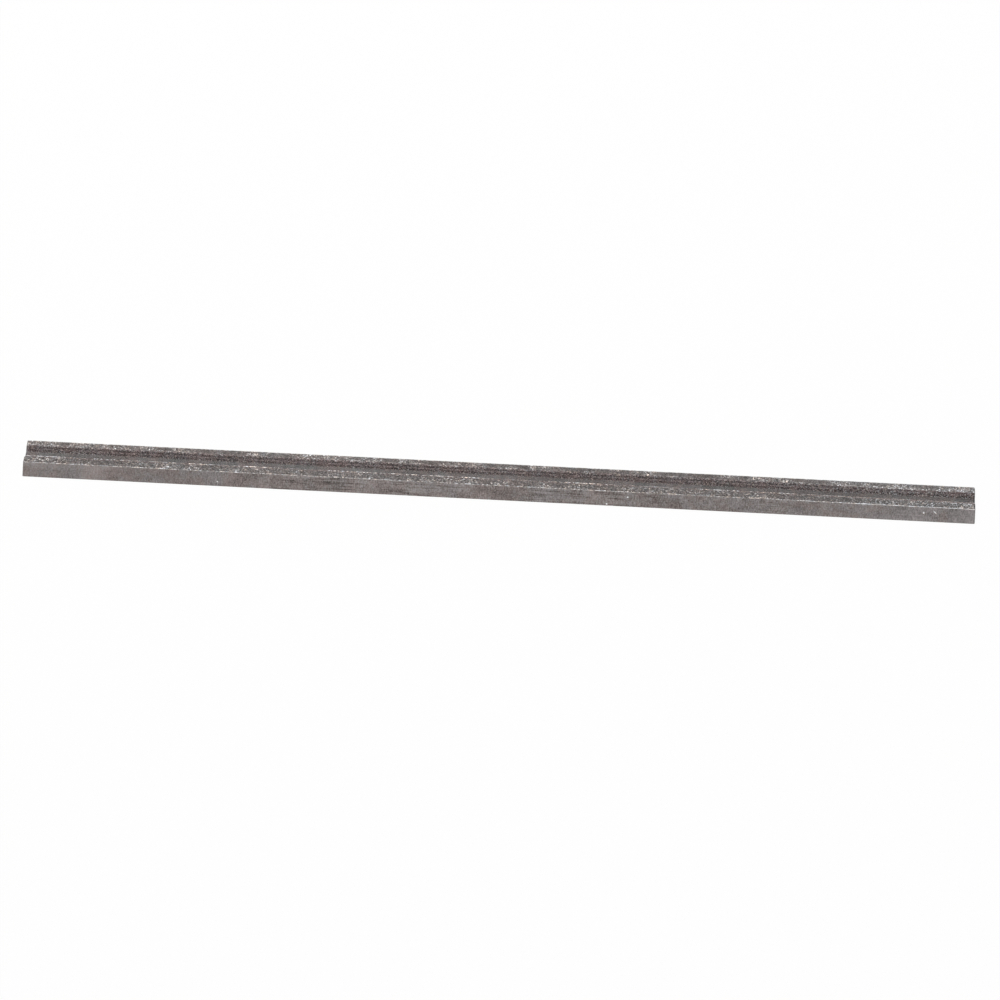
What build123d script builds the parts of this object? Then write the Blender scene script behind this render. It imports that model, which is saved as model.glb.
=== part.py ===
from build123d import *
import os
from math import radians, tan

# Planer knife: a reversible one-piece strip of sintered tungsten carbide.
# It lies on its wide ground face, with the positioning groove facing up.
# Origin at the middle of the wide face, X along the knife, Y across it, Z up. Millimetres.

# Driving dimensions
knife_length = 102.0
wide_face = 5.5
thickness = 1.1
edge_angle = 45.0  # between the wide face and either bevel, so the two cutting edges are alike
groove_mouth = 1.6  # between the sharp corners of the two lands, before they are rounded
groove_depth = 0.38
groove_wall_angle = 40.0  # from the horizontal
mouth_radius = 0.15  # where a land runs into the groove
floor_radius = 0.25  # at the root of a groove wall
land_radius = 0.04  # worn corner between a land and its bevel
end_radius = 0.1  # round the outline of each end, from one cutting edge over to the other

# Sizes that follow from them, each for one half of the section
half_length = knife_length / 2
half_wide = wide_face / 2
half_narrow = half_wide - thickness / tan(radians(edge_angle))
half_mouth = groove_mouth / 2
half_floor = half_mouth - groove_depth / tan(radians(groove_wall_angle))
floor_height = thickness - groove_depth


def long_edges(part, half_width, height):
    """Find the two lengthwise edges that mirror each other across the knife.

    Args:
        part: The builder that holds the knife.
        half_width: How far each edge lies from the middle of the knife.
        height: How far each edge lies above the wide face.

    Returns:
        The two edges.
    """
    level = part.edges().filter_by(Axis.X).filter_by_position(Axis.Z, height, height)
    return level.filter_by(lambda edge: abs(abs(edge.center().Y) - half_width) < 1e-6)


with BuildPart() as planer_knife:
    # Cross-section, seen along the knife: the wide face below, a bevel up each side,
    # and the narrow face on top, with the groove between its two lands.
    with BuildSketch(Plane.YZ.offset(-half_length)) as section:
        with BuildLine() as outline:
            Polyline(
                (0, 0),
                (half_wide, 0),
                (half_narrow, thickness),
                (half_mouth, thickness),
                (half_floor, floor_height),
                (0, floor_height),
            )
            mirror(about=Plane.YZ)
        make_face()
    extrude(amount=knife_length)

    # Pressed corners that run the whole length, from the groove's floor out to the bevels
    fillet(long_edges(planer_knife, half_floor, floor_height), radius=floor_radius)
    fillet(long_edges(planer_knife, half_mouth, thickness), radius=mouth_radius)
    fillet(long_edges(planer_knife, half_narrow, thickness), radius=land_radius)

    # Square-cut ends. Their outline is smooth by now, so a radius set on its two bevel edges
    # runs on over the lands and down through the groove. The wide face keeps its sharp corner.
    end_bevel_edges = ShapeList()
    for end_face in planer_knife.faces().filter_by(Axis.X):
        across = end_face.edges().sort_by(Axis.Y)
        end_bevel_edges += [across[0], across[-1]]
    fillet(end_bevel_edges, radius=end_radius)

planer_knife.part.label = "planer_knife"
os.makedirs("parts", exist_ok=True)
export_step(planer_knife.part, "parts/planer_knife.step")
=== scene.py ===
"""Looks of a reversible carbide planer knife: its mesh, its finishes, the studio and the camera."""

import logging
from dataclasses import dataclass
from enum import Enum
from math import cos, radians, sin, tan

import bmesh
import bpy
from mathutils import Matrix, Vector, noise


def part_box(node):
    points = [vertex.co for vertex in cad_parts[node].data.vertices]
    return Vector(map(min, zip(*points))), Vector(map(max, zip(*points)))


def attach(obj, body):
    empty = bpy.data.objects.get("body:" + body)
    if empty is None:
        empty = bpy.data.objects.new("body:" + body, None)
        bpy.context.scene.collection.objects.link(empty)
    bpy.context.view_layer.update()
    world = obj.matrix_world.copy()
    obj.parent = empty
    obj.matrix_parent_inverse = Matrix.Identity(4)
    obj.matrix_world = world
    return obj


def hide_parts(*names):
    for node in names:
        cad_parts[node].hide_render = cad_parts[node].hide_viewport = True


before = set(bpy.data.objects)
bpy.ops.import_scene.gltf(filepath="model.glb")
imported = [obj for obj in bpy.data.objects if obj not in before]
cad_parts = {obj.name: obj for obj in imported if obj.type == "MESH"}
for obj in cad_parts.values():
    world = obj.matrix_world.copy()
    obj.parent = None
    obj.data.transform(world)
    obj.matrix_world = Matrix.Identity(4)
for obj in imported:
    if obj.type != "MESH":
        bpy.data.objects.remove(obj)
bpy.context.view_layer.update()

log = logging.getLogger("planer_knife")

MM = 0.001  # metres in a millimetre; sizes below are in millimetres, apart from the studio's
SAME_PLACE = 1e-4  # two points closer than this are the same
NODE = "planer_knife"
BODY = "root"
PIECE = "ground_knife"
BAKE_MAP = "OFBake"  # the map that the export bakes the finishes through

Colour = tuple[float, float, float]
Point = tuple[float, float, float]

EVEN: Point = (1.0, 1.0, 1.0)
UNMOVED: Point = (0.0, 0.0, 0.0)
WHITE: Colour = (1.0, 1.0, 1.0)


class Side(Enum):
    """The finishes of the knife, in the order of its material slots."""

    SINTERED = 0
    BEVEL = 1
    UNDERSIDE = 2


class Signal:
    """One shader socket that takes part in Python expressions."""

    def __init__(self, graph: "Graph", socket: bpy.types.NodeSocket) -> None:
        """Wrap a socket of a graph."""
        self.graph = graph
        self.socket = socket

    def maths(self, operation: str, *others: "Signal | float") -> "Signal":
        """Add one Math node.

        Args:
            operation: The node's operation.
            others: The values that follow this one in its sockets.

        Returns:
            The node's result.
        """
        return self.graph.maths(operation, self, *others)

    def __add__(self, other: "Signal | float") -> "Signal":
        """Add a value."""
        return self.maths("ADD", other)

    def __radd__(self, other: float) -> "Signal":
        """Add this to a number."""
        return self.maths("ADD", other)

    def __sub__(self, other: "Signal | float") -> "Signal":
        """Take a value away."""
        return self.maths("SUBTRACT", other)

    def __rsub__(self, other: float) -> "Signal":
        """Take this away from a number."""
        return self.graph.maths("SUBTRACT", other, self)

    def __mul__(self, other: "Signal | float") -> "Signal":
        """Multiply by a value."""
        return self.maths("MULTIPLY", other)

    def __rmul__(self, other: float) -> "Signal":
        """Multiply a number by this."""
        return self.maths("MULTIPLY", other)

    def __abs__(self) -> "Signal":
        """Drop the sign."""
        return self.maths("ABSOLUTE")

    def at_most(self, other: "Signal | float") -> "Signal":
        """Give the smaller of two values."""
        return self.maths("MINIMUM", other)

    def at_least(self, other: "Signal | float") -> "Signal":
        """Give the larger of two values."""
        return self.maths("MAXIMUM", other)

    def rise(self, low: float, high: float) -> "Signal":
        """Go smoothly from 0 at low to 1 at high.

        Args:
            low: Where the rise starts. It may be above high, and then it is a fall.
            high: Where the rise ends.

        Returns:
            The eased value, between 0 and 1.
        """
        settings = {"interpolation_type": "SMOOTHSTEP"}
        sockets = {"Value": self, "From Min": low, "From Max": high}
        return Signal(self.graph, self.graph.node("MapRange", settings, sockets).outputs[0])

    def near(self, middle: float, reach: float) -> "Signal":
        """Give 1 at a value, falling smoothly to 0 on both sides.

        Args:
            middle: The value to mark.
            reach: How far the mark goes each side.

        Returns:
            The mark, between 0 and 1.
        """
        return abs(self - middle).rise(reach, 0.0)


class Graph:
    """The node tree of a material or of the world, with short ways to add to it."""

    # The Mix node's sockets for colours, which share their names with those for numbers
    MIX_SHARE = 0
    MIX_FIRST = 6
    MIX_SECOND = 7
    MIX_RESULT = 2

    def __init__(self, tree: bpy.types.NodeTree) -> None:
        """Empty a tree and start on it."""
        self.tree = tree
        tree.nodes.clear()

    def node(self, kind: str, settings: dict | None = None,
             sockets: dict | None = None) -> bpy.types.Node:
        """Add one node.

        Args:
            kind: The node's type, without the word ShaderNode in front.
            settings: Its properties, which are set before its sockets.
            sockets: Values or links for its input sockets, by name or by number.

        Returns:
            The new node.
        """
        made = self.tree.nodes.new("ShaderNode" + kind)
        for name, value in (settings or {}).items():
            setattr(made, name, value)
        for name, value in (sockets or {}).items():
            self.feed(made.inputs[name], value)
        return made

    def feed(self, socket: bpy.types.NodeSocket, value: object) -> None:
        """Link a signal or a socket to an input, or set its value.

        Args:
            socket: The input.
            value: A signal, a socket, a number or a tuple.
        """
        if isinstance(value, Signal):
            value = value.socket
        if isinstance(value, bpy.types.NodeSocket):
            self.tree.links.new(value, socket)
        elif isinstance(value, tuple) and len(value) == 3 and socket.type == "RGBA":
            socket.default_value = (*value, 1.0)
        else:
            socket.default_value = value

    def maths(self, operation: str, *values: "Signal | float") -> Signal:
        """Add one Math node and give its result."""
        sockets = dict(enumerate(values))
        return Signal(self, self.node("Math", {"operation": operation}, sockets).outputs[0])

    def place(self, stretch: Point = EVEN, shift: Point = UNMOVED) -> bpy.types.NodeSocket:
        """Give the place on the knife in millimetres.

        Args:
            stretch: How many times longer a pattern gets along X, Y and Z.
            shift: Where the pattern's middle goes, in stretched millimetres.

        Returns:
            The vector socket.
        """
        scale = tuple(1 / MM / s for s in stretch)
        object_place = self.node("TexCoord").outputs["Object"]
        sockets = {"Vector": object_place, "Scale": scale, "Location": shift}
        return self.node("Mapping", None, sockets).outputs[0]

    def axes(self) -> tuple[Signal, Signal, Signal]:
        """Give the place on the knife in millimetres as three signals."""
        split = self.node("SeparateXYZ", None, {0: self.place()})
        return tuple(Signal(self, output) for output in split.outputs)

    def cloud(self, size: float, detail: float = 2.0, rough: float = 0.5, twist: float = 0.0,
              stretch: Point = EVEN, shift: Point = UNMOVED) -> Signal:
        """Add a noise texture.

        Args:
            size: The size of its patches in millimetres.
            detail: How many finer layers it has.
            rough: How strong the finer layers are.
            twist: How much it is distorted.
            stretch: How many times longer the patches are along X, Y and Z.
            shift: Moves the pattern, so that two clouds differ.

        Returns:
            The noise, mostly between 0.3 and 0.7.
        """
        sockets = {"Vector": self.place(stretch, shift), "Scale": 1 / size, "Detail": detail,
                   "Roughness": rough, "Distortion": twist}
        return Signal(self, self.node("TexNoise", None, sockets).outputs[0])

    def cells(self, size: float, feature: str = "F1", stretch: Point = EVEN,
              shift: Point = UNMOVED) -> Signal:
        """Add a Voronoi texture.

        Args:
            size: The size of its cells in millimetres.
            feature: What it gives: F1 for the way to the cell's seed, DISTANCE_TO_EDGE for its rim.
            stretch: How many times longer the cells are along X, Y and Z.
            shift: Moves the pattern.

        Returns:
            The distance, in cells.
        """
        sockets = {"Vector": self.place(stretch, shift), "Scale": 1 / size}
        texture = self.node("TexVoronoi", {"feature": feature}, sockets)
        return Signal(self, texture.outputs["Distance"])

    def blend(self, amount: "Signal | float", first: object, second: object,
              way: str = "MIX") -> bpy.types.NodeSocket:
        """Mix two colours.

        Args:
            amount: 0 for the first, 1 for the mixture with the second.
            first: A colour or a colour socket.
            second: A colour or a colour socket.
            way: The Mix node's blend type.

        Returns:
            The mixed colour's socket.
        """
        settings = {"data_type": "RGBA", "blend_type": way}
        sockets = {self.MIX_SHARE: amount, self.MIX_FIRST: first, self.MIX_SECOND: second}
        return self.node("Mix", settings, sockets).outputs[self.MIX_RESULT]

    def tint(self, colour: object, factor: Signal) -> bpy.types.NodeSocket:
        """Lighten or darken a colour by a factor of about 1.

        Args:
            colour: A colour or a colour socket.
            factor: What the colour is multiplied by.

        Returns:
            The changed colour's socket.
        """
        sockets = {0: colour, "Scale": factor}
        return self.node("VectorMath", {"operation": "SCALE"}, sockets).outputs[0]

    def surface(self, colour: object, roughness: object, metallic: object, height: Signal,
                depth: float) -> None:
        """End a material in one metal surface.

        Args:
            colour: Its base colour.
            roughness: Its roughness.
            metallic: Its metallic share.
            height: The fine relief, from about 0 to 1.
            depth: How deep the relief is for a height of 1, in millimetres.
        """
        bump = self.node("Bump", None, {"Strength": 1.0, "Distance": depth * MM, "Height": height})
        sockets = {"Base Color": colour, "Roughness": roughness, "Metallic": metallic,
                   "Normal": bump.outputs[0]}
        shader = self.node("BsdfPrincipled", None, sockets)
        self.node("OutputMaterial", None, {"Surface": shader.outputs[0]})


def add_object(name: str, data: bpy.types.ID) -> bpy.types.Object:
    """Make an object of its data and put it in the scene.

    Args:
        name: The object's name.
        data: Its mesh, lamp or camera.

    Returns:
        The object.
    """
    made = bpy.data.objects.new(name, data)
    bpy.context.scene.collection.objects.link(made)
    return made


def hung_at(place: Vector, way: Vector) -> Matrix:
    """Give the matrix of a lamp or a camera.

    Args:
        place: Where it hangs, in metres.
        way: The way that it faces.

    Returns:
        The matrix.
    """
    return Matrix.Translation(place) @ way.to_track_quat("-Z", "Y").to_matrix().to_4x4()


@dataclass(frozen=True)
class KnifeShape:
    """The knife's section and ends, in millimetres, as its maker would draw them."""

    length: float
    wide_face: float
    thickness: float
    edge_angle: float = 45.0
    groove_mouth: float = 1.6
    groove_depth: float = 0.38
    groove_wall_angle: float = 40.0
    mouth_radius: float = 0.15
    floor_radius: float = 0.25
    land_radius: float = 0.04
    end_radius: float = 0.1

    @classmethod
    def of_node(cls, node: str) -> "KnifeShape":
        """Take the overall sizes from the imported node."""
        low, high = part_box(node)
        return cls(*(side / MM for side in high - low))

    @property
    def half_wide(self) -> float:
        """Half the wide face."""
        return self.wide_face / 2

    @property
    def half_narrow(self) -> float:
        """Half the narrow face, lands and groove together."""
        return self.half_wide - self.thickness / tan(radians(self.edge_angle))

    @property
    def half_mouth(self) -> float:
        """Half the groove's mouth."""
        return self.groove_mouth / 2

    @property
    def half_floor(self) -> float:
        """Half the groove's floor."""
        return self.half_mouth - self.groove_depth / tan(radians(self.groove_wall_angle))

    @property
    def floor_height(self) -> float:
        """The groove's floor above the wide face."""
        return self.thickness - self.groove_depth


def new_material(name: str) -> tuple[bpy.types.Material, Graph]:
    """Make a material and start on its empty graph.

    Args:
        name: The material's name.

    Returns:
        The material and its graph.
    """
    made = bpy.data.materials.new(name)
    made.use_nodes = True
    return made, Graph(made.node_tree)


def right_end(along: Signal) -> Signal:
    """Mark the right end of the knife, which is cleaner and more neutral in colour."""
    return along.rise(28.0, 44.0)


def corner_glint_dots(graph: Graph) -> Signal:
    """Mark the beads of painted highlight along the corners between the lands and the bevels."""
    dots = graph.cloud(0.13, detail=1.5, rough=0.6, twist=0.2, stretch=(1.6, 1.0, 1.0),
                       shift=(0.0, 0.0, 57.0))
    return dots.rise(0.46, 0.57)


def mark_hue(graph: Graph) -> Signal:
    """Say how warm the bright marks are, in patches."""
    return graph.cloud(0.6, detail=3.0, rough=0.7, shift=(51.0, 0.0, 0.0))


class SkinZones:
    """Where a point lies on the pressed skin: places in millimetres, and masks from 0 to 1."""

    def __init__(self, graph: Graph, shape: KnifeShape) -> None:
        """Work out the places and masks.

        Args:
            graph: The finish's graph.
            shape: The knife's section, which says where the lands, the groove and its rims are.
        """
        along, self.over, up = graph.axes()
        self.across = abs(self.over)
        self.ends = abs(along).rise(40.0, 51.0)
        self.right = right_end(along)
        self.near_half = self.over.rise(0.3, -0.3)
        end = shape.length / 2
        self.on_top = abs(along).rise(end - 0.01, end - 0.08)

        # The walls' finish comes up over the rims of the groove, and furthest at the far one
        far_rim = (0.03 - 0.17 * self.right) * (1.0 - self.near_half)
        from_rim = self.across - shape.half_mouth + 0.10 * self.near_half - far_rim
        below_rim = from_rim.rise(0.20, 0.12) * self.on_top
        floor = self.across.rise(shape.half_floor - 0.01, shape.half_floor - 0.12)
        self.on_floor = floor * self.on_top
        self.on_wall = below_rim * (1.0 - self.on_floor)
        self.on_land = 1.0 - below_rim

        # The near wall gets a painted highlight at its foot, and the far wall a painted reflection,
        # a lighter line halfway down
        self.near_foot_highlight = self.on_wall * self.over.rise(-0.20, -0.32)
        halfway = (shape.thickness - up).near(0.48 * shape.groove_depth, 0.09)
        self.wall_reflection = halfway * self.on_wall * self.over.rise(-0.1, 0.1)


class SkinGrain:
    """The grain of the pressed powder, from single granules to broad clouds."""

    def __init__(self, graph: Graph) -> None:
        """Add the textures."""
        self.granules = graph.cloud(0.105, detail=1.0, rough=0.6)
        self.mottle = graph.cloud(1.3, detail=3.0, rough=0.65, twist=0.4, shift=(3.0, 0.0, 0.0))
        self.drift = graph.cloud(8.0, shift=(0.0, 11.0, 0.0))
        pits = graph.cloud(0.17, detail=1.5, rough=0.6, twist=0.5, shift=(0.0, 23.0, 0.0))
        self.pits = pits.rise(0.58, 0.68)


class SkinMarks:
    """Where the pressed skin has been rubbed bright, and where highlights are painted on its
    corners and the near wall's foot, as masks from 0 to 1.
    """

    def __init__(self, graph: Graph, shape: KnifeShape, zones: SkinZones,
                 grain: SkinGrain) -> None:
        """Work out the masks.

        Args:
            graph: The finish's graph.
            shape: The knife's section.
            zones: Where the lands, the walls and the floor are.
            grain: The skin's grain, whose broad clouds gather the marks.
        """
        self.graph = graph
        self.zones = zones
        self.clusters = self.gather(grain)
        # patches where the painted highlight along the near wall's foot is stronger
        worn = graph.cloud(5.0, shift=(0.0, 0.0, 71.0)) + 0.05 * zones.right
        self.worn = worn.rise(0.46, 0.60)
        self.dots = corner_glint_dots(graph)
        self.root_highlight = self.find_root_highlight()
        self.corner_highlight = self.find_corner_highlight(shape)
        self.rubbing_and_highlights = self.add_up_rubbing_and_highlights(shape)

    def gather(self, grain: SkinGrain) -> Signal:
        """Mark where the flecks lie close together.

        Args:
            grain: The skin's grain.

        Returns:
            The mask.
        """
        right = self.zones.right
        clusters = self.graph.cloud(1.6, twist=0.4, stretch=(1.4, 1.0, 1.0), shift=(7.0, 0.0, 0.0))
        clusters = clusters + 0.4 * (grain.drift - 0.5) + 0.16 * self.zones.ends
        return clusters.rise(0.43, 0.62) * (1.0 - 0.40 * right) + 0.26 * right

    def find_root_highlight(self) -> Signal:
        """Mark the broken painted highlight along the foot of the near wall."""
        right = self.zones.right
        dashes = self.graph.cloud(0.17, rough=0.7, twist=0.3, stretch=(1.7, 1.0, 1.0),
                                  shift=(0.0, 0.0, 27.0))
        dashes = dashes + 0.08 * (self.clusters - 0.5) + 0.04 * right
        line = (self.zones.over + 0.08 * right).near(-0.33, 0.13) * self.zones.on_top
        line = line * dashes.rise(0.46, 0.57)
        return line * (0.60 + 0.55 * self.worn + 0.40 * right * (1.0 - self.worn))

    def find_corner_highlight(self, shape: KnifeShape) -> Signal:
        """Mark the painted highlight on the skin's side of the corners between the lands and the
        bevels.

        Args:
            shape: The knife's section.

        Returns:
            The mask.
        """
        right = self.zones.right
        strength = 0.10 + 0.06 * self.zones.ends + 0.68 * right + 0.50 * self.dots
        line = (self.zones.across - 0.03 * right).near(shape.half_narrow - 0.02, 0.08)
        return line * strength.at_most(1.0)

    def add_up_rubbing_and_highlights(self, shape: KnifeShape) -> Signal:
        """Bring the rubbed marks and the painted highlights together, each at its own strength.

        Args:
            shape: The knife's section.

        Returns:
            How bright the rubbing and the painted highlights make the skin.
        """
        zones = self.zones
        right = zones.right
        near_half = zones.near_half
        flecks = self.graph.cloud(0.15, detail=1.5, rough=0.7, twist=0.9, shift=(0.0, 31.0, 0.0))
        flecks = flecks.rise(0.53, 0.65)
        rings = self.graph.cells(0.55, "DISTANCE_TO_EDGE", stretch=(1.2, 1.0, 1.0),
                                 shift=(0.0, 5.0, 0.0)).rise(0.10, 0.03)
        patches = self.graph.cloud(0.45, shift=(9.0, 0.0, 0.0)).rise(0.52, 0.62)
        rings = rings * patches * self.clusters
        broken = self.graph.cloud(0.20, detail=2.5, rough=0.7, twist=0.4, stretch=(1.8, 1.0, 1.0),
                                  shift=(0.0, 0.0, 17.0))
        mouth_line = zones.across.near(shape.half_mouth + 0.20, 0.16) * broken.rise(0.48, 0.64)

        gathered = (0.62 - 0.34 * near_half + 0.14 * near_half * right) * self.clusters
        on_land = flecks * (0.15 + 0.13 * near_half + gathered)
        on_land = on_land + 0.30 * rings + 0.25 * mouth_line * (1.0 - near_half)
        on_land = on_land + 0.30 * right * flecks * zones.over.near(0.96, 0.20)
        on_land = on_land * zones.on_land * (1.0 - self.corner_highlight)
        # flecks on the walls, and more on the near wall's foot as part of its painted highlight
        in_groove = zones.on_wall * (0.42 + 0.20 * right) + zones.near_foot_highlight * (0.45 + 0.35 * right)
        rubbing_and_highlights = (on_land + 0.95 * self.corner_highlight) * zones.on_top
        rubbing_and_highlights = rubbing_and_highlights + in_groove * flecks + 0.95 * self.root_highlight
        return rubbing_and_highlights.at_most(1.0)


@dataclass(frozen=True)
class SinteredSkin:
    """The dark pressed and sintered skin of the lands, the groove and the ends."""

    land: Colour = (0.077, 0.067, 0.065)
    wall: Colour = (0.090, 0.069, 0.069)
    # painted light: the highlight at the near wall's foot and the reflection halfway down the far
    # wall
    wall_highlight: Colour = (0.175, 0.143, 0.143)
    floor: Colour = (0.089, 0.080, 0.079)
    # the rubbed flecks' colours, shared by the painted highlights on the corners and the near
    # wall's foot
    rubbed: Colour = (0.485, 0.468, 0.463)
    rubbed_warm: Colour = (0.513, 0.43, 0.372)
    rubbed_cool: Colour = (0.455, 0.466, 0.492)
    pit: Colour = (0.035, 0.029, 0.030)
    warm: Colour = (1.06, 0.985, 0.96)
    cool: Colour = (0.96, 1.00, 1.02)
    darkest: float = 0.25  # the least that the tone leaves of a colour
    brightest_glint: float = 0.85  # the most that a glint adds to a mark
    relief_depth: float = 0.02

    def material(self, shape: KnifeShape) -> bpy.types.Material:
        """Build the finish.

        Args:
            shape: The knife's section, which says where the lands, the groove and its rims are.

        Returns:
            The material.
        """
        made, graph = new_material("sintered_skin")
        zones = SkinZones(graph, shape)
        grain = SkinGrain(graph)
        marks = SkinMarks(graph, shape, zones, grain)
        bare = self.bare_colour(graph, zones, grain, marks)
        colour = graph.blend(marks.rubbing_and_highlights, bare, self.mark_colour(graph, zones, marks))
        relief = grain.granules * 0.6 + grain.mottle * 0.4 - marks.rubbing_and_highlights * 0.2 - grain.pits * 0.5
        roughness = 0.60 - 0.25 * marks.rubbing_and_highlights
        metallic = 0.5 + 0.45 * marks.rubbing_and_highlights
        graph.surface(colour, roughness, metallic, relief, self.relief_depth)
        return made

    def bare_colour(self, graph: Graph, zones: SkinZones, grain: SkinGrain,
                    marks: SkinMarks) -> bpy.types.NodeSocket:
        """Colour the skin where it hasn't been rubbed.

        Args:
            graph: The finish's graph.
            zones: Where the lands, the walls and the floor are.
            grain: The skin's grain.
            marks: Where the skin has been rubbed bright.

        Returns:
            The colour's socket.
        """
        # painted reflection halfway down the far wall, and painted highlight at the near wall's
        # foot
        walls = graph.blend(zones.wall_reflection, self.wall, self.wall_highlight)
        walls = graph.blend(zones.near_foot_highlight * 0.22, walls, self.wall_highlight)
        colour = graph.blend(zones.on_wall, self.land, walls)
        colour = graph.blend(zones.on_floor, colour, self.floor)
        tone = (3.8 + 2.4 * zones.on_wall) * (grain.granules - 0.5)
        tone = tone + 1.2 * (grain.mottle - 0.5) + 0.6 * (grain.drift - 0.5)
        tone = tone + self.bands(zones, marks) * zones.on_top
        colour = graph.tint(colour, (1.0 + tone).at_least(self.darkest))
        colour = graph.blend(grain.pits * 0.6 * (1.0 - 0.6 * zones.on_floor), colour, self.pit)
        hue = graph.cloud(2.2, detail=4.0, rough=0.75, twist=0.5, shift=(0.0, 41.0, 0.0))
        hue = (hue - 0.12 * zones.right * zones.on_land).rise(0.38, 0.62)
        return graph.blend(1.0, colour, graph.blend(hue, self.cool, self.warm), "MULTIPLY")

    def bands(self, zones: SkinZones, marks: SkinMarks) -> Signal:
        """Say how much lighter or darker each lengthwise band is, with painted shade at the far
        wall's root and rim.

        Args:
            zones: Where the lands, the walls and the floor are.
            marks: Where the skin has been rubbed bright.

        Returns:
            What to add to the tone.
        """
        over = zones.over
        near_half = zones.near_half
        far_land = 0.18 * marks.clusters * zones.on_land * (1.0 - near_half)
        # painted shade in the crease at the far wall's root and just inside the far rim
        far_root_shade = 0.36 * over.near(0.34, 0.16)
        far_rim = 0.30 * over.near(0.87, 0.15) + 0.14 * over.near(0.77, 0.22)
        bands = far_land - 0.13 * near_half * zones.on_land - far_root_shade
        bands = bands - far_rim * (1.0 - zones.right)
        at_right = (0.20 - 0.12 * near_half) * zones.on_land
        at_right = at_right + 0.37 * over.near(-0.80, 0.28) + 0.52 * over.near(0.81, 0.28)
        at_right = at_right - 0.26 * zones.on_wall * over.rise(0.20, 0.32)
        at_right = at_right - 0.16 * over.near(0.12, 0.18)
        return bands + at_right * zones.right

    def mark_colour(self, graph: Graph, zones: SkinZones, marks: SkinMarks) -> bpy.types.NodeSocket:
        """Colour the bright marks: the rubbed flecks and the painted highlights.

        Args:
            graph: The finish's graph.
            zones: Where the lands, the walls and the floor are.
            marks: Where the skin has been rubbed bright.

        Returns:
            The colour's socket.
        """
        right = zones.right
        hue = mark_hue(graph) - 0.07 * right - 0.06 * marks.corner_highlight
        hue = hue + 0.16 * right * marks.root_highlight
        colour = graph.blend(hue.rise(0.48, 0.60), self.rubbed, self.rubbed_warm)
        colour = graph.blend(hue.rise(0.46, 0.36), colour, self.rubbed_cool)
        glint = marks.root_highlight * (0.20 + 0.75 * marks.worn + 0.30 * right)
        glint = glint + (0.35 + 0.45 * right) * marks.corner_highlight * marks.dots
        return graph.tint(colour, 1.0 + glint.at_most(self.brightest_glint))


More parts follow.
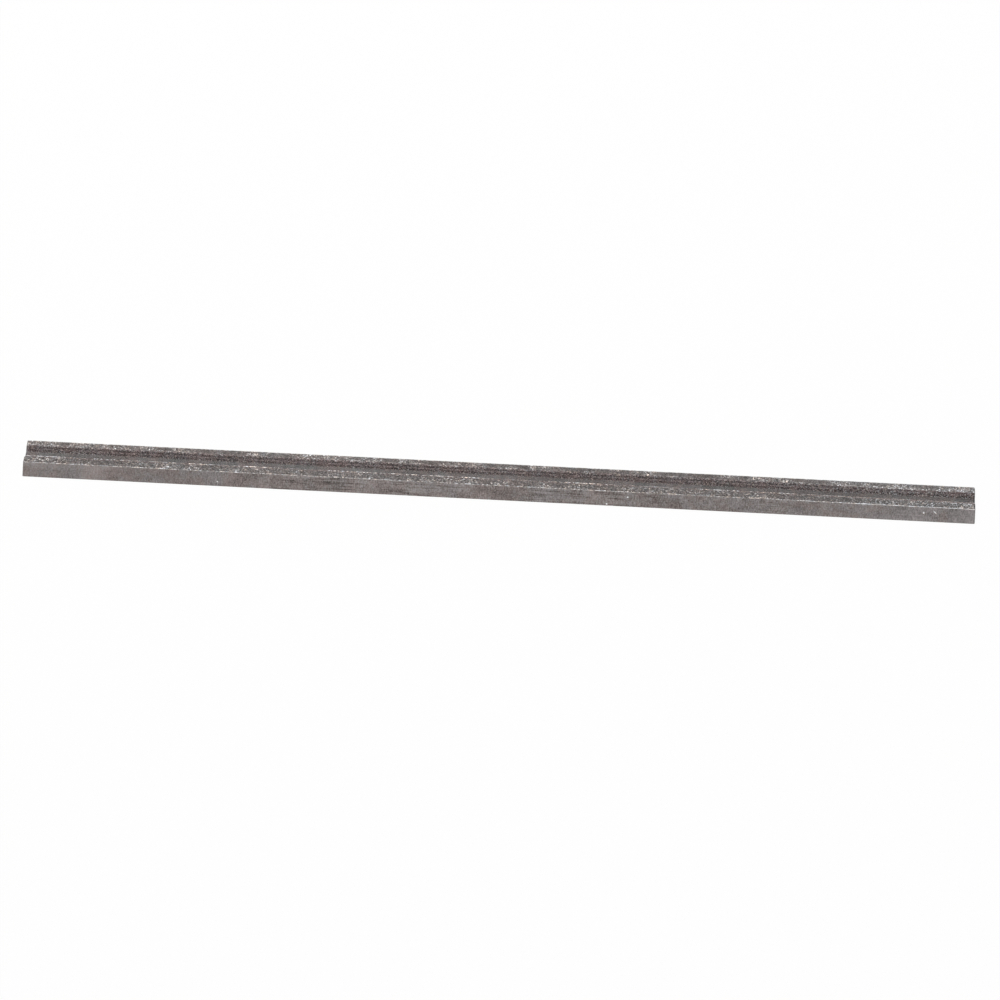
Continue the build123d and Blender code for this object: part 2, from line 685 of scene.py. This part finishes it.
@dataclass(frozen=True)
class GroundBevel:
    """The bevels: ground across their edge, and dulled to a warm grey."""

    ground: Colour = (0.232, 0.205, 0.199)
    dark: Colour = (0.120, 0.100, 0.098)
    # the painted highlight along the corners, and the bright specks and marks
    speck_and_highlight: Colour = (0.735, 0.745, 0.765)
    speck_and_highlight_warm: Colour = (0.765, 0.70, 0.645)
    warm: Colour = (1.04, 0.99, 0.965)
    cool: Colour = (0.965, 1.00, 1.02)
    darkest: float = 0.3  # the least that the tone leaves of a colour
    dot_place: tuple[float, float] = (45.55, 0.65)  # along the knife and above the wide face
    scratch_place: tuple[float, float] = (46.75, 0.72)
    scratch_slope: float = 0.6
    relief_depth: float = 0.006

    def material(self, shape: KnifeShape) -> bpy.types.Material:
        """Build the finish.

        Args:
            shape: The knife's section, which says where the bevels end.

        Returns:
            The material.
        """
        made, graph = new_material("ground_bevel")
        along, over, up = graph.axes()
        right = right_end(along)
        strokes = graph.cloud(0.13, detail=1.5, rough=0.6, stretch=(1.0, 3.0, 3.0))
        wide_strokes = graph.cloud(0.50, rough=0.6, twist=0.3, stretch=(1.0, 3.0, 3.0),
                                   shift=(4.0, 0.0, 0.0))
        grain = graph.cloud(0.14, detail=1.0, rough=0.6, shift=(0.0, 0.0, 3.0))
        fine = 1.5 * (strokes - 0.5) + 0.5 * (wide_strokes - 0.5) + 1.7 * (grain - 0.5)
        colour = self.ground_colour(graph, along, fine)

        specks = graph.cells(2.2, shift=(0.7, 0.0, 0.0)).rise(0.05, 0.03)
        specks = specks + self.front_marks(along, over, up)
        # a painted highlight along the corner with the land, broken into beads, over the real
        # specks and marks
        strength = 0.20 + 0.52 * right + 0.45 * corner_glint_dots(graph)
        corner_highlight = abs(over).near(shape.half_narrow, 0.045) * strength
        bright = (corner_highlight * 0.75 + specks).at_most(1.0)
        hue = mark_hue(graph).rise(0.48, 0.60)
        colour = graph.blend(bright, colour, graph.blend(hue, self.speck_and_highlight, self.speck_and_highlight_warm))
        relief = strokes * 0.5 + wide_strokes * 0.2 + grain * 0.3
        graph.surface(colour, 0.50 - 0.2 * bright, 0.55 + 0.4 * bright, relief, self.relief_depth)
        return made

    def ground_colour(self, graph: Graph, along: Signal, fine: Signal) -> bpy.types.NodeSocket:
        """Colour the bevels under their bright marks.

        Args:
            graph: The finish's graph.
            along: The place along the knife.
            fine: The tone of the strokes and the grain.

        Returns:
            The colour's socket.
        """
        right = right_end(along)
        calm = along.rise(-24.0, -42.0)
        mottle = graph.cloud(2.2, detail=3.0, rough=0.6, twist=0.5, stretch=(1.6, 1.0, 1.0),
                             shift=(0.0, 7.0, 0.0))
        drift = graph.cloud(9.0, shift=(21.0, 0.0, 0.0))
        streaks = graph.cloud(0.17, stretch=(22.0, 1.0, 1.0), shift=(0.0, 0.0, 31.0))
        streaks = streaks.rise(0.48, 0.64) * drift.rise(0.48, 0.58) * (1.0 - 0.7 * calm)
        tone = (fine + 1.3 * (mottle - 0.5)) * (1.0 - 0.28 * calm - 0.15 * right)
        tone = tone + 0.9 * (drift - 0.5) - 0.50 * streaks + 0.06 + 0.12 * right
        colour = graph.tint(self.ground, (1.0 + tone).at_least(self.darkest))

        spots = graph.cells(0.75, shift=(0.0, 19.0, 0.0)).rise(0.22, 0.12)
        spots = spots * graph.cloud(6.0, detail=1.0, shift=(33.0, 0.0, 0.0)).rise(0.52, 0.58)
        colour = graph.blend(spots * 0.45, colour, self.dark)
        hue = graph.cloud(2.6, detail=4.0, rough=0.75, twist=0.5, shift=(0.0, 61.0, 0.0))
        hue = (hue - 0.12 * right - 0.28 * tone).rise(0.38, 0.61)
        return graph.blend(1.0, colour, graph.blend(hue, self.cool, self.warm), "MULTIPLY")

    def front_marks(self, along: Signal, over: Signal, up: Signal) -> Signal:
        """Mark the dot and the short scratch near the right end of the front bevel.

        Args:
            along: The place along the knife.
            over: The place across it.
            up: The place above the wide face.

        Returns:
            The mask.
        """
        dot_along, dot_up = self.dot_place
        scratch_along, scratch_up = self.scratch_place
        dot = along.near(dot_along, 0.13) * up.near(dot_up, 0.11)
        sloped = up + self.scratch_slope * (along - scratch_along)
        scratch = along.near(scratch_along, 0.26) * sloped.near(scratch_up, 0.07)
        return over.rise(0.0, -0.5) * (1.6 * dot + 1.3 * scratch)


@dataclass(frozen=True)
class GroundFace:
    """The wide face: ground bright along its length, then smudged."""

    bright: Colour = (0.72, 0.71, 0.70)
    smudge: Colour = (0.50, 0.48, 0.47)
    stain: Colour = (0.36, 0.25, 0.19)
    speck: Colour = (0.10, 0.08, 0.07)
    wheel_reach: float = 7.0  # from the knife to the middle of the wheel's arcs, in knife widths
    relief_depth: float = 0.004

    def material(self, shape: KnifeShape) -> bpy.types.Material:
        """Build the finish.

        Args:
            shape: The knife's section, which sets how far the wheel's arcs reach.

        Returns:
            The material.
        """
        made, graph = new_material("ground_face")
        fine = graph.cloud(0.07, detail=3.0, rough=0.65, stretch=(22.0, 1.0, 1.0))
        coarse = graph.cloud(0.35, detail=3.0, rough=0.6, twist=0.3, stretch=(9.0, 1.0, 1.0),
                             shift=(5.0, 0.0, 0.0))
        smears = graph.cloud(2.6, detail=4.0, rough=0.6, twist=0.8, stretch=(2.2, 1.0, 1.0),
                             shift=(0.0, 13.0, 0.0))
        wheel_place = graph.place(shift=(0.0, self.wheel_reach * shape.wide_face, 0.0))
        settings = {"wave_type": "RINGS", "rings_direction": "Z"}
        sockets = {"Vector": wheel_place, "Scale": 0.55, "Distortion": 1.2, "Detail": 2.0,
                   "Detail Scale": 1.5}
        wheel = Signal(graph, graph.node("TexWave", settings, sockets).outputs["Fac"])
        arcs = wheel.rise(0.55, 0.95) * smears.rise(0.50, 0.62)
        colour = graph.blend(smears.rise(0.46, 0.66), self.bright, self.smudge)
        tone = 0.45 * (fine - 0.5) + 0.35 * (coarse - 0.5) - 0.10 * arcs
        colour = graph.tint(colour, 1.0 + tone)
        stains = graph.cells(3.4, shift=(0.0, 3.0, 0.0)).rise(0.14, 0.05) * fine.rise(0.40, 0.60)
        colour = graph.blend(stains * 0.45, colour, self.stain)
        specks = graph.cells(1.7, stretch=(1.8, 1.0, 1.0), shift=(8.0, 0.0, 0.0)).rise(0.045, 0.03)
        colour = graph.blend(specks * 0.8, colour, self.speck)
        relief = fine * 0.6 + coarse * 0.4 - arcs * 0.3
        graph.surface(colour, 0.34 + 0.22 * smears, 0.9 - 0.6 * specks, relief, self.relief_depth)
        return made


@dataclass(frozen=True)
class Nicks:
    """Small losses along one pair of edges, which mirror each other across the knife."""

    half_width: float
    height: float
    deepest: float
    pitch: float
    reach: float
    seed: float

    FAR_LANE = 7.0  # keeps the far edge's pattern apart from the near edge's
    RARE_PITCH = 3.1  # how many times longer the pattern of the rare losses is
    RARE_LANE = 5.0
    COMMON_SHARE = 0.25
    RARE_LEVEL = 0.55

    def depth_at(self, place: Vector) -> float:
        """Say how far a point is worn back.

        Args:
            place: The point in millimetres.

        Returns:
            The depth in millimetres.
        """
        away = Vector((abs(place.y) - self.half_width, place.z - self.height)).length
        if away >= self.reach:
            return 0.0
        lane = self.seed + (self.FAR_LANE if place.y > 0 else 0.0)
        common = noise.noise(Vector((place.x / self.pitch, lane, 0.0)))
        rare_pitch = self.RARE_PITCH * self.pitch
        rare = noise.noise(Vector((place.x / rare_pitch, lane, self.RARE_LANE)))
        share = self.COMMON_SHARE * max(0.0, common) + max(0.0, common + rare - self.RARE_LEVEL)
        return self.deepest * min(1.0, share) * (1.0 - away / self.reach)


@dataclass(frozen=True)
class Chip:
    """A corner that has been knocked off round."""

    corner: Point
    deepest: float
    reach: float

    def step_at(self, place: Vector) -> Vector:
        """Say how far a point is pushed in, with the end face kept flat.

        Args:
            place: The point in millimetres.

        Returns:
            The step in millimetres.
        """
        away = place - Vector(self.corner)
        depth = self.deepest * max(0.0, 1.0 - away.length / self.reach)
        on_end = abs(away.x) < SAME_PLACE
        return Vector((0.0 if on_end else -depth, -depth, -depth))


class PlanerKnife:
    """The knife as one mesh, shaped like its CAD node, with worn edges and its finishes."""

    # How many strips each flat is cut into, from one bevel over to the other, then the wide face
    FLAT_PARTS = (8, 5, 3, 4, 3, 5, 8, 12)
    RINGS = 860  # how many lengths the long faces are cut into
    ARC_SEGMENTS = 3
    SHARP_ANGLE = radians(38.0)
    DOWN = -0.5  # a face whose normal has less Z than this belongs to the wide face
    LEVEL = 0.5  # a face whose normal has less X than this doesn't belong to an end
    ENDWISE = 0.8  # a face whose normal has more X than this is laid out with its end
    BAKE_ROWS = 3  # how many lengths the knife is laid out in, one above the other
    BAKE_GAP = 0.35  # between the parts that are laid out

    def __init__(self, shape: KnifeShape) -> None:
        """Keep the shape that the mesh follows."""
        self.shape = shape

    def build(self) -> bpy.types.Object:
        """Build and dress the knife.

        Returns:
            The finished piece, in metres, at the origin.
        """
        blank = self.blank()
        mesh = self.rounded(blank)
        body = bmesh.new()
        body.from_mesh(mesh)
        bpy.data.meshes.remove(mesh)
        self.ring(body)
        self.wear(body)
        self.sort_faces(body)
        self.lay_out(body)
        bmesh.ops.scale(body, vec=(MM, MM, MM), verts=body.verts)
        finished = bpy.data.meshes.new(PIECE)
        body.to_mesh(finished)
        body.free()
        piece = add_object(PIECE, finished)
        self.dress(piece)
        return piece

    def blank(self) -> bmesh.types.BMesh:
        """Extrude the sharp-cornered section to the knife's length.

        Returns:
            The prism, with a bevel weight on each edge that gets a radius.
        """
        s = self.shape
        body = bmesh.new()
        half = [
            (s.half_wide, 0.0),
            (s.half_narrow, s.thickness),
            (s.half_mouth, s.thickness),
            (s.half_floor, s.floor_height),
        ]
        corners = [body.verts.new((-s.length / 2, y, z)) for y, z in half]
        corners += [body.verts.new((-s.length / 2, -y, z)) for y, z in reversed(half)]
        flats = [body.edges.new(pair) for pair in zip(corners, corners[1:] + corners[:1])]
        for flat, parts in zip(flats, self.FLAT_PARTS):
            bmesh.ops.subdivide_edges(body, edges=[flat], cuts=parts - 1)
        section = bmesh.ops.contextual_create(body, geom=body.edges[:])["faces"]
        grown = bmesh.ops.extrude_face_region(body, geom=section)["geom"]
        moved = [part for part in grown if isinstance(part, bmesh.types.BMVert)]
        bmesh.ops.translate(body, vec=(s.length, 0.0, 0.0), verts=moved)
        bmesh.ops.recalc_face_normals(body, faces=body.faces[:])
        self.weigh(body)
        return body

    def weigh(self, body: bmesh.types.BMesh) -> None:
        """Put a bevel weight on each edge that gets a radius.

        Args:
            body: The sharp-cornered prism.
        """
        weights = body.edges.layers.float.new("bevel_weight_edge")
        for edge in body.edges:
            edge[weights] = self.offset_of(edge) / self.shape.end_radius

    def offset_of(self, edge: bmesh.types.BMEdge) -> float:
        """Say how far from an edge its rounding starts.

        Args:
            edge: An edge of the prism.

        Returns:
            The distance in millimetres, or 0 for a sharp edge.
        """
        s = self.shape
        first, second = (vertex.co for vertex in edge.verts)
        middle = (first + second) / 2
        if abs(first.x - second.x) < SAME_PLACE:
            return s.end_radius if middle.z > SAME_PLACE else 0.0
        turns = {
            (s.half_narrow, s.thickness): (s.land_radius, s.edge_angle),
            (s.half_mouth, s.thickness): (s.mouth_radius, s.groove_wall_angle),
            (s.half_floor, s.floor_height): (s.floor_radius, s.groove_wall_angle),
        }
        for (y, z), (radius, turn) in turns.items():
            if (Vector((abs(middle.y), middle.z)) - Vector((y, z))).length < SAME_PLACE:
                return radius * tan(radians(turn / 2))
        return 0.0

    def rounded(self, blank: bmesh.types.BMesh) -> bpy.types.Mesh:
        """Round the weighted edges with a Bevel modifier.

        Args:
            blank: The prism, which is used up.

        Returns:
            The mesh with its radii.
        """
        mesh = bpy.data.meshes.new("blank")
        blank.to_mesh(mesh)
        blank.free()
        holder = add_object("blank", mesh)
        bevel = holder.modifiers.new("radii", "BEVEL")
        bevel.limit_method = "WEIGHT"
        bevel.offset_type = "OFFSET"
        bevel.width = self.shape.end_radius
        bevel.segments = self.ARC_SEGMENTS
        bevel.profile = 0.5  # a true arc
        bevel.use_clamp_overlap = False
        depsgraph = bpy.context.evaluated_depsgraph_get()
        made = bpy.data.meshes.new_from_object(holder.evaluated_get(depsgraph))
        bpy.data.objects.remove(holder)
        bpy.data.meshes.remove(mesh)
        return made

    def ring(self, body: bmesh.types.BMesh) -> None:
        """Cut the long faces across into rings, so that wear can move their edges.

        Args:
            body: The rounded knife.
        """
        long_edges = [e for e in body.edges if e.calc_length() > self.shape.length / 2]
        bmesh.ops.subdivide_edges(body, edges=long_edges, cuts=self.RINGS - 1, use_grid_fill=True)

    def wear(self, body: bmesh.types.BMesh) -> None:
        """Wear the long edges back a little, unevenly, and knock one corner off.

        Args:
            body: The ringed knife.
        """
        s = self.shape
        edges = (
            Nicks(s.half_narrow, s.thickness, deepest=0.075, pitch=0.30, reach=0.12, seed=1.0),
            Nicks(s.half_mouth, s.thickness, deepest=0.060, pitch=0.35, reach=0.10, seed=3.0),
            Nicks(s.half_wide, 0.0, deepest=0.020, pitch=0.45, reach=0.10, seed=5.0),
        )
        far_corner = (s.length / 2, s.half_narrow, s.thickness)
        chip = Chip(far_corner, deepest=0.12, reach=0.45)
        body.normal_update()
        depths = {v: max(edge.depth_at(v.co) for edge in edges) for v in body.verts}
        steps = {v: chip.step_at(v.co) - v.normal * depth for v, depth in depths.items()}
        for vertex, step in steps.items():
            vertex.co += step

    def sort_faces(self, body: bmesh.types.BMesh) -> None:
        """Give each face its finish, and keep the ground corners sharp in shading.

        Args:
            body: The worn knife.
        """
        body.normal_update()
        for face in body.faces:
            middle = face.calc_center_median()
            face.smooth = True
            side = Side.SINTERED
            if face.normal.z < self.DOWN:
                side = Side.UNDERSIDE
            elif abs(middle.y) > self.shape.half_narrow and abs(face.normal.x) < self.LEVEL:
                side = Side.BEVEL
            face.material_index = side.value
        for edge in body.edges:
            edge.smooth = not edge.is_manifold or edge.calc_face_angle() < self.SHARP_ANGLE

    def lay_out(self, body: bmesh.types.BMesh) -> None:
        """Lay the knife out flat in rows, so that the baked finishes stay sharp.

        Args:
            body: The worn knife.
        """
        s = self.shape
        gap = self.BAKE_GAP
        row_length = s.length / self.BAKE_ROWS
        row_height = 2 * (s.wide_face + gap) + s.thickness + gap
        unit = 1.0 / max(row_length + 2 * gap, self.BAKE_ROWS * row_height + gap)
        layer = body.loops.layers.uv.new(BAKE_MAP)
        for face in body.faces:
            middle = face.calc_center_median()
            row = min(self.BAKE_ROWS - 1, int((middle.x + s.length / 2) / row_length))
            start = row * row_length - s.length / 2
            base = gap + row * row_height
            for loop in face.loops:
                place = loop.vert.co
                if abs(face.normal.x) > self.ENDWISE:
                    u = s.half_wide + place.y + gap
                    v = base + 2 * (s.wide_face + gap) + place.z
                elif face.normal.z < self.DOWN:
                    u = place.x - start + gap
                    v = base + s.wide_face + gap + s.half_wide - place.y
                else:
                    u = place.x - start + gap
                    v = base + s.half_wide + place.y
                loop[layer].uv = (u * unit, v * unit)

    def dress(self, piece: bpy.types.Object) -> None:
        """Give the piece its finishes, in the order of Side.

        Args:
            piece: The knife's object.
        """
        for finish in (SinteredSkin(), GroundBevel(), GroundFace()):
            piece.data.materials.append(finish.material(self.shape))


@dataclass(frozen=True)
class Studio:
    """A white table under even light, with a soft key light from behind, all in metres."""

    floor_size: float = 6.0
    floor_white: float = 0.90
    floor_shade: float = 0.04
    sky_light: float = 0.40
    key_power: float = 3.1
    key_size: float = 0.5
    key_place: Point = (-0.12, 0.35, 0.55)

    def build(self) -> None:
        """Lay the floor, light the world and hang the key light."""
        self.lay_floor()
        self.light_world()
        self.hang_key()

    def lay_floor(self) -> None:
        """Lay a white floor, which keeps a faint shadow."""
        plane = bmesh.new()
        bmesh.ops.create_grid(plane, x_segments=1, y_segments=1, size=self.floor_size / 2)
        mesh = bpy.data.meshes.new("floor")
        plane.to_mesh(mesh)
        plane.free()
        floor = add_object("floor", mesh)
        mesh.materials.append(self.floor_material())

    def floor_material(self) -> bpy.types.Material:
        """Build the floor's finish, which the camera and metal see as almost white.

        Returns:
            The material.
        """
        made, graph = new_material("white_table")
        matte = graph.node("BsdfDiffuse", None, {"Color": (self.floor_white,) * 3})
        glow = graph.node("Emission", None, {"Color": WHITE, "Strength": 1.0})
        seen = seen_directly(graph) * (1.0 - self.floor_shade)
        sockets = {0: seen, 1: matte.outputs[0], 2: glow.outputs[0]}
        mixed = graph.node("MixShader", None, sockets)
        graph.node("OutputMaterial", None, {"Surface": mixed.outputs[0]})
        return made

    def light_world(self) -> None:
        """Light the world evenly, and show it as white to the camera and to metal."""
        world = bpy.data.worlds.new("studio")
        bpy.context.scene.world = world
        world.use_nodes = True
        graph = Graph(world.node_tree)
        strength = self.sky_light + seen_directly(graph) * (1.0 - self.sky_light)
        sky = graph.node("Background", None, {"Color": WHITE, "Strength": strength})
        graph.node("OutputWorld", None, {"Surface": sky.outputs[0]})

    def hang_key(self) -> None:
        """Hang the key light behind the knife, turned to its middle."""
        lamp = bpy.data.lights.new("key", "AREA")
        lamp.shape = "DISK"
        lamp.size = self.key_size
        lamp.energy = self.key_power
        place = Vector(self.key_place)
        add_object("key", lamp).matrix_world = hung_at(place, -place)


def seen_directly(graph: Graph) -> Signal:
    """Give 1 for rays from the camera, from gloss and through glass, and 0 for the rest.

    Args:
        graph: The tree to add to.

    Returns:
        The share.
    """
    path = graph.node("LightPath")
    names = ("Is Camera Ray", "Is Glossy Ray", "Is Transmission Ray")
    first, *rest = (Signal(graph, path.outputs[name]) for name in names)
    for other in rest:
        first = first.at_least(other)
    return first


@dataclass(frozen=True)
class Camera:
    """The camera, as fitted to the photograph: a long lens, looking down along the Y axis."""

    target: Point = (0.459, -2.714, 0.0)
    distance: float = 432.66
    azimuth: float = 4.027
    elevation: float = 45.45
    frame_width: float = 1000.0  # in pixels, like the focal length
    focal_length: float = 4050.0
    sensor: float = 36.0
    nearest: float = 0.01  # in metres, like the furthest
    furthest: float = 20.0

    def place(self) -> bpy.types.Object:
        """Set the scene's camera.

        Returns:
            The camera's object.
        """
        data = bpy.data.cameras.new("camera")
        data.sensor_width = self.sensor
        data.lens = self.sensor * self.focal_length / self.frame_width
        data.clip_start = self.nearest
        data.clip_end = self.furthest
        camera = add_object("camera", data)
        turn = radians(self.azimuth)
        lift = radians(self.elevation)
        back = Vector((sin(turn) * cos(lift), -cos(turn) * cos(lift), sin(lift)))
        place = (Vector(self.target) + back * self.distance) * MM
        camera.matrix_world = hung_at(place, -back)
        bpy.context.scene.camera = camera
        return camera


def main() -> None:
    """Build the knife, its studio and its camera, and log the lens and the face count."""
    logging.basicConfig(level=logging.INFO, format="%(name)s: %(message)s")
    bpy.context.scene.view_settings.view_transform = "Standard"
    camera = Camera().place()
    log.info("camera with a %.1f mm lens", camera.data.lens)
    Studio().build()
    log.info("floor, world and key light")
    piece = PlanerKnife(KnifeShape.of_node(NODE)).build()
    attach(piece, BODY)
    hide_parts(NODE)
    log.info("%s with %d faces", piece.name, len(piece.data.polygons))


if __name__ == "__main__":
    main()
